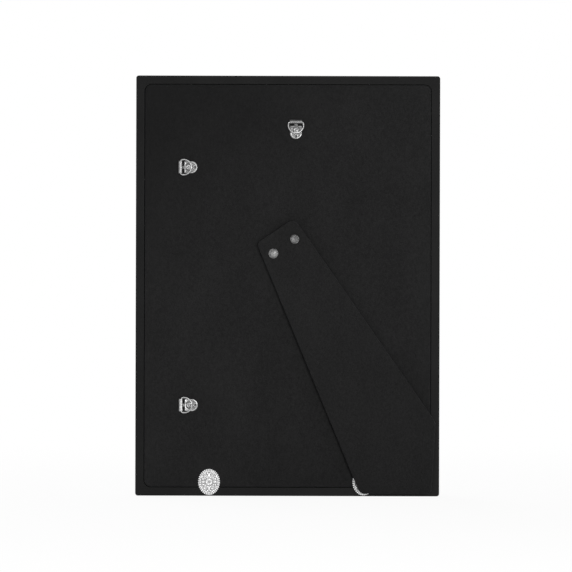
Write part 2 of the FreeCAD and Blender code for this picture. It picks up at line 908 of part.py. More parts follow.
hinge = hinge_place()
nodes["hinge_panel_leaf"] = placed(hinge_panel_leaf(), hinge)
nodes["hinge_leg_leaf"] = placed(hinge_leg_leaf(), hinge)
nodes["hinge_pin"] = placed(hinge_pin(), hinge)
panel_rivet_grip = panel_rear + hinge_sheet - board_front
panel_rivet = flared_rivet(
    domed_head(panel_rivet_head_radius, panel_rivet_head_height, panel_rivet_edge),
    panel_rivet_head_radius,
    panel_rivet_grip,
)
nodes["hinge_panel_rivets"] = Part.makeCompound(
    [
        placed(turned(panel_rivet, x, z).translated(OUT * hinge_sheet), hinge)
        for x, z in panel_rivet_places
    ]
)
leg_rivet_heads = {
    "leg_rivet_outer": pressed_head(
        leg_rivet_head_radius, leg_rivet_head_height, leg_rivet_edge
    ),
    "leg_rivet_inner": domed_head(
        leg_rivet_head_radius, leg_rivet_head_height, leg_rivet_edge
    ),
}
for (name, head), (x, z) in zip(leg_rivet_heads.items(), leg_rivet_places):
    rivet = turned(leg_rivet(head), x, z).translated(OUT * leg_over)
    nodes[name] = placed(rivet, hinge)

hanger_rivet = turned(
    flared_rivet(
        eyelet_head(hanger_rivet_head_radius, hanger_rivet_head_height),
        hanger_rivet_head_radius,
        panel_rear + strap_over - board_front,
    ),
    0,
    -strap_rivet_reach,
).translated(OUT * strap_over)
for name, place in hangers.items():
    nodes[name + "_strap"] = placed(strap(), place)
    nodes[name + "_ring"] = placed(ring(), place)
    nodes[name + "_rivet"] = placed(hanger_rivet, place)

for name, place in medallions.items():
    nodes[name] = placed(medallion(), place)

os.makedirs("parts", exist_ok=True)
for name, shape in nodes.items():
    shape.exportStep("parts/" + name + ".step")
    box = shape.BoundBox
    print(
        f"{name:26s} solids {len(shape.Solids)} valid {shape.isValid()} "
        f"volume {shape.Volume:10.2f} "
        f"x {box.XMin:7.2f} {box.XMax:7.2f} y {box.YMin:6.2f} {box.YMax:6.2f} "
        f"z {box.ZMin:7.2f} {box.ZMax:7.2f}"
    )

axis = hinge.multVec(Vector(0, hinge_axis_out, 0))
direction = hinge.Rotation.multVec(ACROSS)
print("leg hinge at", axis, "along", direction, "opens", leg_open_angle)
for name, place in hangers.items():
    centre = place.multVec(Vector(0, eye_radius, 0))
    print(name, "turns at", centre, "along", place.Rotation.multVec(ACROSS))
print("ring lies at", ring_rest_tilt(), "degrees and turns over by", ring_swing())
print("pocket", 2 * pocket_half_width, pocket_high - pocket_low, "sight margin", sight_margin)
print("glass front", glass_front, "front", front, "rear", rear)
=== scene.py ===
import json
import math

import bmesh
import bpy
import numpy as np
from mathutils import Matrix, Quaternion, Vector
from mathutils.geometry import delaunay_2d_cdt

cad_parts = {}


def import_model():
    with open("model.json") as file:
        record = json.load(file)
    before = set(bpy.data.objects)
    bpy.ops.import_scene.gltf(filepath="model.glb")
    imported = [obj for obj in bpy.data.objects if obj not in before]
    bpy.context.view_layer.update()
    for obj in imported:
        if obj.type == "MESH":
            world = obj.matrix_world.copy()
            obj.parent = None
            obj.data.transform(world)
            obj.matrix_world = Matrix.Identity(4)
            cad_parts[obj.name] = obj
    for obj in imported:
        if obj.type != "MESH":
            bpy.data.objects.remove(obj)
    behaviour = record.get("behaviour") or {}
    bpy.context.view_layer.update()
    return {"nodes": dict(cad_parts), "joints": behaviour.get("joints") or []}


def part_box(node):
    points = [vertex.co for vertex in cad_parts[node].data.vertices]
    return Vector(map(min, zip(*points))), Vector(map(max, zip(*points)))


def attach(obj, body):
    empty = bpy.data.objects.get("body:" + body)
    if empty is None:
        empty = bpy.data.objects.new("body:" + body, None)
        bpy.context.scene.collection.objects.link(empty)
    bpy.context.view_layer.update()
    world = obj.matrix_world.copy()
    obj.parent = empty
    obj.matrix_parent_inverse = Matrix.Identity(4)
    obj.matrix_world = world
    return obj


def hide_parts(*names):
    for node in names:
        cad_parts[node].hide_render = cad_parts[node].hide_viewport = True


# Easel back photo frame: its looks, in metres, in the frame of the solids.
# +Z is up, the picture faces -Y and the velvet back faces +Y.

MM = 0.001
ACROSS = Vector((1, 0, 0))
OUT = Vector((0, 1, 0))
DOWN = Vector((0, 0, -1))

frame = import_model()
nodes = frame["nodes"]
panel_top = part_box("back_velvet")[1].y
moulding_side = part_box("frame_moulding")[0].x

# View of the back, straight on
view_width = 423.3 * MM
view_centre = Vector((1.26 * MM, 7.0 * MM, 155.43 * MM))
view_roll = math.radians(0.16)
lens = 200.0
sensor = 36.0
view_near = 0.05
view_far = 50.0

# Studio
ambient_level = 0.27
floor_colour = 0.8
floor_half = 20.0
floor_glow_near = 0.93
floor_shadow_near = 0.1
floor_shadow_reach = 0.9

# Name, place, side and watts of each lamp
lamps = (
    ("key", (-0.36, 1.5, 0.26), 0.4, 10.5),
    ("side", (0.35, 1.3, 0.2), 0.35, 1.5),
    ("top", (0.2, -0.3, 2.2), 1.6, 18),
    ("front", (0.9, -1.9, 0.9), 1.4, 30),
)

# Velvet: the pile's share against the tufts and the nap's against both, and the painted shade
# that darkens the upper corner on the +X side, which starts and ends at sums of x and z
pile_grain = 0.5 * MM
tuft_grain = 1.6 * MM
nap_grain = 30 * MM
nap_turn = (0, 30, 0)
pile_share = 0.78
nap_share = 0.12
velvet_dark = 0.0065
velvet_light = 0.0235
velvet_painted_shade_level = 0.007
velvet_painted_shade_start = 0.2
velvet_painted_shade_end = 0.42
velvet_painted_shade_share = 0.6

# Moulding
moulding_grain = 0.5 * MM
moulding_drift = 40 * MM
brush_grain = 0.7 * MM
brush_stretch = 0.05
scuff_size = 3.2 * MM
wear_patch_size = 6 * MM
wear_radius = 0.9 * MM
rear_start = 4 * MM
rear_end = 6.5 * MM
moulding_dark = 0.0015
moulding_light = 0.0065
scuff_level = 0.024
wear_level = 0.03

# Metal, paper and board
plating_cloud = 1.6 * MM
plating_spot = 0.7 * MM
# Painted highlight along plated edges: its radius and level
painted_edge_highlight_radius = 0.16 * MM
painted_edge_highlight_level = 0.8
silver_grain = 0.35 * MM
silver_cloud = 2.5 * MM
silver_dark = 0.2
silver_light = 0.68
silver_spot_level = 0.3
hinge_grain = 0.4 * MM
hinge_cloud = 4 * MM
hinge_turn = (0, 34, 0)
smear_grain = 30 * MM
paper_cloud_fibres = 14
board_fibre = 0.6 * MM
board_cloud = 9 * MM

# Meshes
smooth_angle = 35
near_enough = 1e-7
outline_step = 2.5 * MM
lattice_row_share = 0.87
lattice_clear_share = 0.45

# Velvet covers
velvet_sheet = 0.35 * MM
velvet_edge_round = 0.8 * MM
velvet_rim_round = 0.12 * MM
panel_corner_radius = 5.0 * MM
panel_grid = 5.0 * MM
leg_grid = 3.0 * MM

# Where the pile dips round a fitting: distance from its outline and depth
pressed_rings = [
    (away * MM, dip * MM)
    for away, dip in ((-0.3, 0.0), (0.1, 0.1), (0.6, 0.11), (1.2, 0.05), (2.0, 0.0))
]
pressed_outline_step = 1.2 * MM
pressed_end_share = 0.95

# Leg outline, as in the solids
leg_top_width = 33.1 * MM
leg_top_aside = 9.1 * MM
leg_top_height = 196.2 * MM
leg_tilt = math.radians(34.0)
leg_inner_edge_angle = math.radians(22.5)
leg_outer_edge_angle = math.radians(34.9)
leg_foot_lift = 2.2 * MM
leg_side_foot_inset = 6.0 * MM
leg_side_shoulder_inset = 3.0 * MM
leg_radii = [radius * MM for radius in (3.5, 6.0, 9.0, 4.2, 5.0)]

# Pairs of fittings
leg_rivets = ("leg_rivet_outer", "leg_rivet_inner")
medallions = ("left_medallion", "right_medallion")
rivet_outline_steps = 28

# Ring hangers, forward from the bar of the ring
hangers = ("top_hanger", "upper_side_hanger", "lower_side_hanger")
hanger_sheet = 0.55 * MM
eye_inner_radius = 0.61 * MM
eye_stretch = 0.85 * MM
eye_half_width = 4.56 * MM
eye_slit_start = math.radians(-35)
strap_half_width = 4.4 * MM
strap_step_inset = 0.2 * MM
strap_neck_half_width = 0.9 * MM
strap_pad_start = 2.4 * MM
strap_fold_reach = 8.3 * MM
strap_end_reach = 12.1 * MM
strap_fold_end_radius = 3.2 * MM
strap_edge_round = 0.14 * MM
strap_grid = 0.36 * MM
strap_corner_radius = 0.2 * MM
strap_end_radius = strap_half_width - 0.05 * MM
strap_fold_corner_radius = 0.25 * MM
strap_outline_step = 0.5 * MM
tongue_arc_steps = 14
fold_arc_steps = 10
neck_arc_steps = 3
strap_neck_lap = 0.3 * MM
strap_neck_corner_radius = 0.1 * MM
strap_neck_sheet_share = 0.96
strap_rivet_reach = 5.7 * MM
fold_front_inset = 0.5 * MM
fold_front_half_width = 0.55 * MM
fold_press = 0.12 * MM
rivet_dish_radius = 2.55 * MM
rivet_dish_half_width = 0.45 * MM
tongue_border_inset = 0.62 * MM
tongue_border_half_width = 0.45 * MM
tongue_border_height = 0.16 * MM
tongue_dimple_reach = 10.25 * MM
tongue_dimple_radius = 1.0 * MM
tongue_dimple_depth = 0.24 * MM
tongue_lip_radius = tongue_dimple_radius + 0.25 * MM
tongue_lip_half_width = 0.3 * MM
tongue_lip_height = 0.1 * MM
tooth_pitch = 1.14 * MM
tooth_depth = 0.3 * MM
teeth_middle = math.radians(128)
teeth_spread = math.radians(32)
roll_steps = 64
roll_front_steps = 12
roll_back_steps = 16
roll_end_round = 0.15 * MM
roll_end_drop = 0.09 * MM
# Painted light on the strap: a painted highlight on the roll, painted shade in its teeth, inside the eye
# and on the neck, and the reach of a painted shadow beside the fold
roll_painted_highlight = 0.75
tooth_painted_shade = 4 / MM
eye_inside_painted_shade = 0.1
neck_painted_shade = 0.15
fold_painted_shadow_reach = 0.45 * MM
# Painted light: how much lighter or darker each hanger's fold is painted, as the light falls on it
hanger_painted_light = {"top_hanger": 0.42, "upper_side_hanger": 0.65, "lower_side_hanger": 1.6}

# Medallion relief, in shares of the oval's half width and half height
bead_count = 36
bead_steps = 10
medallion_loops = 76
medallion_first_share = 0.02
bead_centre_share = 0.925
bead_radius = 0.68 * MM
bead_lift = 0.5 * MM
scallop_valley_share = 0.962
lobe_share = 0.8
lobe_half_width_share = 0.075
lobe_height = 0.5 * MM
lobe_fullness = 0.6
field_height = 0.5 * MM
crown_height = 0.8 * MM
wall_height = 0.45 * MM
rubbed_height = 0.34 * MM
boss_radius = 0.95 * MM
boss_height = 0.5 * MM
boss_groove = 0.45 * MM
boss_groove_radius = 0.62 * MM
boss_groove_half_width = 0.26 * MM
petals = 8
petal_radius = 0.85 * MM
petal_height = 0.42 * MM
petal_reach = 1.75 * MM
petal_dimple = 0.36 * MM
petal_dimple_radius = 0.3 * MM
scroll_aside = 2.55 * MM
scroll_rise = 4.35 * MM
scroll_outer = 1.6 * MM
scroll_step = 0.7 * MM
scroll_half_width = 0.3 * MM
scroll_height = 0.4 * MM
scroll_eye_radius = 0.28 * MM
scroll_eye_height = 0.36 * MM
side_leaf = (2.8 * MM, 3.1 * MM)
end_leaf = (2.8 * MM, 4.1 * MM)
leaf_half_width = 0.95 * MM
leaf_height = 0.45 * MM
leaf_fullness = 0.8
leaf_vein = 0.2 * MM
leaf_vein_half_width = 0.15 * MM
bud_height = 0.4 * MM

# Place across, place up and radius of the buds in one quarter, in millimetres
buds = (
    (4.6, 2.1, 0.8),
    (1.15, 6.5, 0.65),
    (3.1, 2.2, 0.65),
    (5.0, 3.75, 0.6),
    (1.2, 3.1, 0.5),
    (3.0, 6.35, 0.5),
)


# Camera and studio
def camera():
    data = bpy.data.cameras.new("camera")
    data.lens = lens
    data.sensor_width = sensor
    data.clip_start = view_near
    data.clip_end = view_far
    seen = bpy.data.objects.new("camera", data)
    bpy.context.scene.collection.objects.link(seen)
    seen.location = view_centre + OUT * view_width * lens / sensor
    seen.rotation_mode = "QUATERNION"
    level = (-OUT).to_track_quat("-Z", "Y")
    seen.rotation_quaternion = level @ Quaternion((0, 0, 1), view_roll)
    bpy.context.scene.camera = seen


def lamp(name, place, size, watts):
    """A soft square lamp that faces the middle of the object."""
    data = bpy.data.lights.new(name, "AREA")
    data.shape = "SQUARE"
    data.size = size
    data.energy = watts
    made = bpy.data.objects.new(name, data)
    bpy.context.scene.collection.objects.link(made)
    made.location = place
    made.rotation_euler = (view_centre - Vector(place)).to_track_quat("-Z", "Y").to_euler()


def seen_rays(tree):
    """One for rays from the camera and for those that metal and glass send on."""
    path = tree.nodes.new("ShaderNodeLightPath")
    total = path.outputs["Is Camera Ray"]
    for name in ("Is Glossy Ray", "Is Transmission Ray"):
        either = tree.nodes.new("ShaderNodeMath")
        either.operation = "MAXIMUM"
        tree.links.new(total, either.inputs[0])
        tree.links.new(path.outputs[name], either.inputs[1])
        total = either.outputs[0]
    return total


def world():
    made = bpy.data.worlds.new("studio")
    made.use_nodes = True
    bpy.context.scene.world = made
    tree = made.node_tree
    ambient = tree.nodes["Background"]
    ambient.inputs["Color"].default_value = (1, 1, 1, 1)
    ambient.inputs["Strength"].default_value = ambient_level
    white = tree.nodes.new("ShaderNodeBackground")
    white.inputs["Color"].default_value = (1, 1, 1, 1)
    mix = tree.nodes.new("ShaderNodeMixShader")
    tree.links.new(seen_rays(tree), mix.inputs[0])
    tree.links.new(ambient.outputs[0], mix.inputs[1])
    tree.links.new(white.outputs[0], mix.inputs[2])
    tree.links.new(mix.outputs[0], tree.nodes["World Output"].inputs[0])


def floor():
    """A pale floor, white to the eye, that takes the object's shadow near its foot."""
    data = bpy.data.meshes.new("floor")
    corners = [(-1, -1), (1, -1), (1, 1), (-1, 1)]
    data.from_pydata([(x * floor_half, y * floor_half, 0) for x, y in corners], [], [(0, 1, 2, 3)])
    made = bpy.data.objects.new("floor", data)
    bpy.context.scene.collection.objects.link(made)
    material = bpy.data.materials.new("floor")
    material.use_nodes = True
    tree = material.node_tree
    tree.nodes.remove(tree.nodes["Principled BSDF"])
    matt = tree.nodes.new("ShaderNodeBsdfDiffuse")
    matt.inputs["Color"].default_value = (floor_colour, floor_colour, floor_colour, 1)
    glow = tree.nodes.new("ShaderNodeEmission")
    place = tree.nodes.new("ShaderNodeTexCoord")
    away = tree.nodes.new("ShaderNodeVectorMath")
    away.operation = "LENGTH"
    tree.links.new(place.outputs["Object"], away.inputs[0])
    near = tree.nodes.new("ShaderNodeMapRange")
    near.interpolation_type = "SMOOTHSTEP"
    near.inputs["From Min"].default_value = floor_shadow_near
    near.inputs["From Max"].default_value = floor_shadow_reach
    near.inputs["To Min"].default_value = floor_glow_near
    near.inputs["To Max"].default_value = 1.0
    tree.links.new(away.outputs["Value"], near.inputs["Value"])
    share = tree.nodes.new("ShaderNodeMath")
    share.operation = "MULTIPLY"
    tree.links.new(near.outputs["Result"], share.inputs[0])
    tree.links.new(seen_rays(tree), share.inputs[1])
    mix = tree.nodes.new("ShaderNodeMixShader")
    tree.links.new(share.outputs[0], mix.inputs[0])
    tree.links.new(matt.outputs[0], mix.inputs[1])
    tree.links.new(glow.outputs[0], mix.inputs[2])
    tree.links.new(mix.outputs[0], tree.nodes["Material Output"].inputs["Surface"])
    data.materials.append(material)


def studio():
    bpy.context.scene.view_settings.view_transform = "Standard"
    camera()
    world()
    floor()
    for values in lamps:
        lamp(*values)


# Materials
class Surface:
    """A procedural material: a Principled shader with textures in object coordinates."""

    def __init__(self, name, sockets):
        self.material = bpy.data.materials.new(name)
        self.material.use_nodes = True
        self.tree = self.material.node_tree
        self.shader = self.tree.nodes["Principled BSDF"]
        self.place = self.tree.nodes.new("ShaderNodeTexCoord").outputs["Object"]
        self.normal = None
        for socket, value in sockets.items():
            self.shader.inputs[socket].default_value = value

    def link(self, value, socket):
        if isinstance(value, (int, float)):
            socket.default_value = value
        else:
            self.tree.links.new(value, socket)

    def stretched(self, scales, turn=(0, 0, 0)):
        node = self.tree.nodes.new("ShaderNodeMapping")
        node.inputs["Scale"].default_value = scales
        node.inputs["Rotation"].default_value = [math.radians(angle) for angle in turn]
        self.tree.links.new(self.place, node.inputs["Vector"])
        return node.outputs["Vector"]

    def noise(self, grain, detail=2.0, roughness=0.55, place=None):
        """Noise from 0 to 1 whose blots are about the grain across."""
        node = self.tree.nodes.new("ShaderNodeTexNoise")
        node.inputs["Scale"].default_value = 1 / grain
        node.inputs["Detail"].default_value = detail
        node.inputs["Roughness"].default_value = roughness
        self.tree.links.new(place or self.place, node.inputs["Vector"])
        return node.outputs[0]

    def along(self, axis):
        node = self.tree.nodes.new("ShaderNodeSeparateXYZ")
        self.tree.links.new(self.place, node.inputs[0])
        return node.outputs[axis]

    def wear_and_painted_light(self):
        """The share of wear and painted light that the mesh carries."""
        node = self.tree.nodes.new("ShaderNodeAttribute")
        node.attribute_name = "wear_and_painted_light"
        return node.outputs["Fac"]

    def ranged(self, value, low, high, to_low=0.0, to_high=1.0):
        node = self.tree.nodes.new("ShaderNodeMapRange")
        node.interpolation_type = "SMOOTHSTEP"
        self.link(value, node.inputs["Value"])
        node.inputs["From Min"].default_value = low
        node.inputs["From Max"].default_value = high
        node.inputs["To Min"].default_value = to_low
        node.inputs["To Max"].default_value = to_high
        return node.outputs["Result"]

    def maths(self, operation, a, b=0.0):
        node = self.tree.nodes.new("ShaderNodeMath")
        node.operation = operation
        self.link(a, node.inputs[0])
        self.link(b, node.inputs[1])
        return node.outputs[0]

    def blend(self, a, b, share):
        """The share of a and the rest of b."""
        rest = self.maths("MULTIPLY", b, 1 - share)
        return self.maths("ADD", self.maths("MULTIPLY", a, share), rest)

    def tint(self, value, dark, light):
        """The base colour between two colours; either may be an earlier tint."""
        node = self.tree.nodes.new("ShaderNodeMix")
        node.data_type = "RGBA"
        self.link(value, node.inputs["Factor"])
        for colour, socket in ((dark, node.inputs[6]), (light, node.inputs[7])):
            if isinstance(colour, tuple):
                socket.default_value = (*colour, 1)
            else:
                self.tree.links.new(colour, socket)
        self.tree.links.new(node.outputs[2], self.shader.inputs["Base Color"])
        return node.outputs[2]

    def edge(self, radius, low=0.02, high=0.25):
        """One along the edges of the shape, fading out within the radius."""
        bevel = self.tree.nodes.new("ShaderNodeBevel")
        bevel.samples = 4
        bevel.inputs["Radius"].default_value = radius
        flat = self.tree.nodes.new("ShaderNodeNewGeometry")
        dot = self.tree.nodes.new("ShaderNodeVectorMath")
        dot.operation = "DOT_PRODUCT"
        self.tree.links.new(bevel.outputs[0], dot.inputs[0])
        self.tree.links.new(flat.outputs["Normal"], dot.inputs[1])
        return self.ranged(self.maths("SUBTRACT", 1.0, dot.outputs["Value"]), low, high)

    def rough(self, value, low, high):
        spread = self.ranged(value, 0.25, 0.75, low, high)
        self.tree.links.new(spread, self.shader.inputs["Roughness"])

    def bump(self, value, depth, strength=1.0):
        node = self.tree.nodes.new("ShaderNodeBump")
        node.inputs["Strength"].default_value = strength
        node.inputs["Distance"].default_value = depth
        self.tree.links.new(value, node.inputs["Height"])
        if self.normal:
            self.tree.links.new(self.normal, node.inputs["Normal"])
        self.normal = node.outputs["Normal"]
        self.tree.links.new(self.normal, self.shader.inputs["Normal"])

    def lets_light_through(self):
        """Shadow rays pass, so what lies behind the glass is lit."""
        path = self.tree.nodes.new("ShaderNodeLightPath")
        clear = self.tree.nodes.new("ShaderNodeBsdfTransparent")
        mix = self.tree.nodes.new("ShaderNodeMixShader")
        self.tree.links.new(path.outputs["Is Shadow Ray"], mix.inputs[0])
        self.tree.links.new(self.shader.outputs[0], mix.inputs[1])
        self.tree.links.new(clear.outputs[0], mix.inputs[2])
        self.tree.links.new(mix.outputs[0], self.tree.nodes["Material Output"].inputs["Surface"])


def grey(level, warmth=0.0):
    return (level * (1 + warmth), level, level * (1 - warmth))


def velvet_material():
    """Black velvet: short upright pile in tufts, with a faint sheen and slow mottling, and painted shade
    that darkens its upper corner on the +X side.
    """
    made = Surface("velvet", {
        "Specular IOR Level": 0.05,
        "Sheen Weight": 0.06,
        "Sheen Roughness": 0.6,
        "Sheen Tint": (0.75, 0.75, 0.8, 1),
    })
    pile = made.noise(pile_grain, detail=4, roughness=0.75)
    tufts = made.noise(tuft_grain, 3, 0.6, made.stretched((1, 1, 0.7), nap_turn))
    nap = made.noise(nap_grain, 3, 0.55, made.stretched((1, 1, 0.6), nap_turn))
    level = made.blend(nap, made.blend(pile, tufts, pile_share), nap_share)
    body = made.tint(made.ranged(level, 0.32, 0.68), grey(velvet_dark), grey(velvet_light))
    # Painted shade: the velvet is darker towards its upper corner on the +X side
    corner = made.maths("ADD", made.along("X"), made.along("Z"))
    corner = made.ranged(corner, velvet_painted_shade_start, velvet_painted_shade_end, 0.0, velvet_painted_shade_share)
    made.tint(corner, body, grey(velvet_painted_shade_level))
    made.rough(pile, 0.8, 1.0)
    made.bump(nap, depth=0.2 * MM, strength=0.4)
    made.bump(tufts, depth=0.12 * MM, strength=0.5)
    made.bump(pile, depth=0.22 * MM, strength=0.9)
    return made.material


def moulding_material():
    """Satin black moulding: fine grain, brush lines, scuffs and worn edges, fewer behind."""
    made = Surface("moulding", {"Specular IOR Level": 0.1})
    grain = made.noise(moulding_grain, detail=4, roughness=0.7)
    drift = made.noise(moulding_drift, detail=2)
    upright = made.noise(brush_grain, 3, 0.6, made.stretched((1, 1, brush_stretch)))
    level_lines = made.noise(brush_grain, 3, 0.6, made.stretched((brush_stretch, 1, 1)))
    lines = made.blend(upright, level_lines, 0.5)
    scuffs = made.ranged(made.noise(scuff_size, detail=4, roughness=0.75), 0.58, 0.7)
    patches = made.ranged(made.noise(wear_patch_size, detail=3), 0.3, 0.65, 0.35, 1.0)
    level = made.blend(made.blend(grain, lines, 0.5), drift, 0.6)
    body = made.tint(made.ranged(level, 0.35, 0.65), grey(moulding_dark), grey(moulding_light))
    body = made.tint(made.maths("MULTIPLY", scuffs, 0.3), body, grey(scuff_level))
    rear = made.ranged(made.along("Y"), rear_start, rear_end)
    # Edge wear, in patches, with less of it behind
    wear_and_painted_light = made.maths("MULTIPLY", made.edge(wear_radius, 0.01, 0.12), patches)
    wear_and_painted_light = made.maths("MULTIPLY", wear_and_painted_light, made.ranged(rear, 0, 1, 0.6, 0.08))
    made.tint(wear_and_painted_light, body, grey(wear_level))
    made.rough(made.blend(rear, made.blend(lines, scuffs, 0.6), 0.4), 0.38, 0.62)
    made.bump(drift, depth=0.3 * MM, strength=0.25)
    made.bump(lines, depth=0.06 * MM, strength=0.6)
    made.bump(grain, depth=0.07 * MM, strength=0.9)
    return made.material


def plated_material(name, light, dark, rough, grain, spots, bright, pressed=False):
    """Nickel plated steel: cloudy plating, fine pits, dull spots and a painted highlight along its
    edges.
    A pressed piece carries painted shade in the recesses and a painted highlight on the ridges that its
    mesh marks."""
    made = Surface(name, {"Metallic": 1.0})
    cloud = made.noise(plating_cloud, detail=3, roughness=0.6)
    fine = made.noise(grain, detail=3, roughness=0.65)
    dull = made.ranged(made.noise(plating_spot, detail=3, roughness=0.7), 0.46, 0.58)
    # A pressed piece takes its tone from the painted highlight and painted shade that its mesh carries
    if pressed:
        level = made.blend(made.ranged(made.wear_and_painted_light(), 0.0, 1.0), cloud, 0.75)
    else:
        level = made.ranged(cloud, 0.3, 0.7)
    body = made.tint(level, grey(dark), grey(light))
    body = made.tint(made.maths("MULTIPLY", dull, spots), body, grey(dark * 0.4))
    # Painted highlight: the edges are tinted brighter, by the share that bright gives
    edges = made.maths("MULTIPLY", made.edge(painted_edge_highlight_radius), bright)
    made.tint(edges, body, grey(painted_edge_highlight_level))
    made.rough(made.blend(cloud, fine, 0.5), *rough)
    made.bump(cloud, depth=0.08 * MM, strength=0.6)
    made.bump(fine, depth=0.025 * MM, strength=0.7)
    return made.material


def silver_material():
    """Pressed silver, blackened in the recesses and rubbed bright on the relief."""
    made = Surface("silver", {"Metallic": 1.0})
    fine = made.noise(silver_grain, detail=3, roughness=0.6)
    cloud = made.noise(silver_cloud, detail=2)
    cloudy = made.maths("MULTIPLY", made.maths("SUBTRACT", cloud, 0.5), 0.5)
    rubbed = made.ranged(made.maths("ADD", made.wear_and_painted_light(), cloudy), 0.0, 0.8)
    body = made.tint(rubbed, grey(silver_dark), grey(silver_light))
    spots = made.maths("MULTIPLY", made.ranged(fine, 0.52, 0.7), 0.35)
    made.tint(spots, body, grey(silver_spot_level))
    made.rough(made.blend(cloud, fine, 0.4), 0.34, 0.5)
    made.bump(fine, depth=0.05 * MM, strength=0.8)
    return made.material


def hinge_material():
    """Zinc plated hinge steel, rolled along the length of its leaves."""
    made = Surface("hinge_steel", {"Metallic": 1.0})
    lines = made.noise(hinge_grain, 3, 0.6, made.stretched((1, 1, 0.06), hinge_turn))
    cloud = made.noise(hinge_cloud, detail=3, roughness=0.7)
    made.tint(made.ranged(cloud, 0.3, 0.7), (0.36, 0.37, 0.4), (0.5, 0.5, 0.49))
    made.rough(made.blend(lines, cloud, 0.5), 0.3, 0.5)
    made.bump(lines, depth=0.02 * MM, strength=0.6)
    return made.material


def glass_material():
    """Clear picture glass with a faint smear."""
    made = Surface("glass", {"Transmission Weight": 1.0, "IOR": 1.5})
    smear = made.noise(smear_grain, 4, 0.7, made.stretched((1, 1, 0.4)))
    made.tint(made.ranged(smear, 0.3, 0.7), (0.97, 0.99, 0.98), (0.99, 1.0, 0.995))
    made.rough(smear, 0.0, 0.03)
    made.lets_light_through()
    return made.material


def paper_material(name, dark, light, fibre, depth, warmth=0.0):
    """Matt paper or card with fibres."""
    made = Surface(name, {"Specular IOR Level": 0.15})
    fibres = made.noise(fibre, 4, 0.7, made.stretched((1, 1, 0.5)))
    cloud = made.noise(fibre * paper_cloud_fibres, detail=3)
    level = made.ranged(made.blend(fibres, cloud, 0.5), 0.35, 0.65)
    made.tint(level, grey(dark, warmth), grey(light, warmth))
    made.rough(fibres, 0.8, 0.95)
    made.bump(fibres, depth, strength=0.6)
    return made.material


def fibreboard_material():
    """Brown hard fibreboard with mixed fibres."""
    made = Surface("fibreboard", {"Specular IOR Level": 0.2})
    fibres = made.noise(board_fibre, 4, 0.75, made.stretched((1, 1, 0.35)))
    cloud = made.noise(board_cloud, detail=3)
    level = made.ranged(made.blend(fibres, cloud, 0.6), 0.35, 0.65)
    made.tint(level, (0.2, 0.135, 0.08), (0.38, 0.27, 0.17))
    made.rough(fibres, 0.7, 0.9)
    made.bump(fibres, depth=0.08 * MM, strength=0.7)
    return made.material


def dress(node, material):
    data = nodes[node].data
    data.materials.clear()
    data.materials.append(material)


# Meshes are drawn on a plane, x across and y forward, with z out of the back
def place_of(base, across, forward):
    columns = (across, forward, across.cross(forward), base)
    return Matrix([[column[row] for column in columns] for row in range(3)] + [[0, 0, 0, 1]])


def finished(name, mesh, place, material, body, node, smooth=smooth_angle):
    """The mesh as a piece: it rides on its body and stands for the node that it replaces."""
    mesh.transform(place)
    bmesh.ops.recalc_face_normals(mesh, faces=mesh.faces)
    data = bpy.data.meshes.new(name)
    mesh.to_mesh(data)
    mesh.free()
    data.materials.append(material)
    data.shade_smooth()
    data.set_sharp_from_angle(angle=math.radians(smooth))
    made = bpy.data.objects.new(name, data)
    bpy.context.scene.collection.objects.link(made)
    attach(made, body)
    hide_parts(node)
    return made


def turned_by(vector, angle):
    c, s = math.cos(angle), math.sin(angle)
    return Vector((vector.x * c - vector.y * s, vector.x * s + vector.y * c))


def outline_of(corners, radii, step=outline_step, arc_steps=8):
    """Points and outward normals along straight sides and round corners."""
    found = []
    for i, radius in enumerate(radii):
        corner = Vector(corners[i])
        before = (Vector(corners[i - 1]) - corner).normalized()
        after = (Vector(corners[(i + 1) % len(corners)]) - corner).normalized()
        half = before.angle(after) / 2
        centre = corner + (before + after).normalized() * radius / math.sin(half)
        start = corner + before * radius / math.tan(half) - centre
        end = corner + after * radius / math.tan(half) - centre
        turn = math.atan2(start.x * end.y - start.y * end.x, start.dot(end))
        for k in range(arc_steps + 1):
            normal = turned_by(start, turn * k / arc_steps).normalized()
            found.append((centre + normal * radius, normal))
    filled = []
    for i, (point, normal) in enumerate(found):
        filled.append((point, normal))
        onward = found[(i + 1) % len(found)][0]
        pieces = int((onward - point).length // step)
        filled += [(point.lerp(onward, k / pieces), normal) for k in range(1, pieces)]
    return filled


def rectangle(half_width, start, end):
    return ((-half_width, start), (half_width, start), (half_width, end), (-half_width, end))


def oval_outline(centre, half_width, half_height, steps=64):
    found = []
    for i in range(steps):
        angle = 2 * math.pi * i / steps
        c, s = math.cos(angle), math.sin(angle)
        normal = Vector((c * half_height, s * half_width)).normalized()
        found.append((centre + Vector((half_width * c, half_height * s)), normal))
    return found


def new_mesh():
    """An empty mesh whose points carry a share of wear and painted light: one where it is rubbed bright
    or painted as a highlight, low where shade is painted.
    """
    mesh = bmesh.new()
    mesh.verts.layers.float.new("wear_and_painted_light")
    return mesh


def point(mesh, place, wear_and_painted_light=1.0):
    vert = mesh.verts.new(place)
    vert[mesh.verts.layers.float["wear_and_painted_light"]] = wear_and_painted_light
    return vert


def loop_of(mesh, outline, inset, height, wear_and_painted_light=1.0):
    return [point(mesh, (p.x - n.x * inset, p.y - n.y * inset, height), wear_and_painted_light) for p, n in outline]


def bridge(mesh, loops):
    for a, b in zip(loops, loops[1:]):
        for i in range(len(a)):
            j = (i + 1) % len(a)
            mesh.faces.new((a[i], a[j], b[j], b[i]))


def inside(points, border):
    """Which of the points lie inside the border."""
    x, y = points[:, 0], points[:, 1]
    found = np.zeros(len(points), bool)
    for (ax, ay), (bx, by) in zip(border, np.roll(border, -1, axis=0)):
        if ay != by:
            found ^= ((ay > y) != (by > y)) & (x < (bx - ax) * (y - ay) / (by - ay) + ax)
    return found


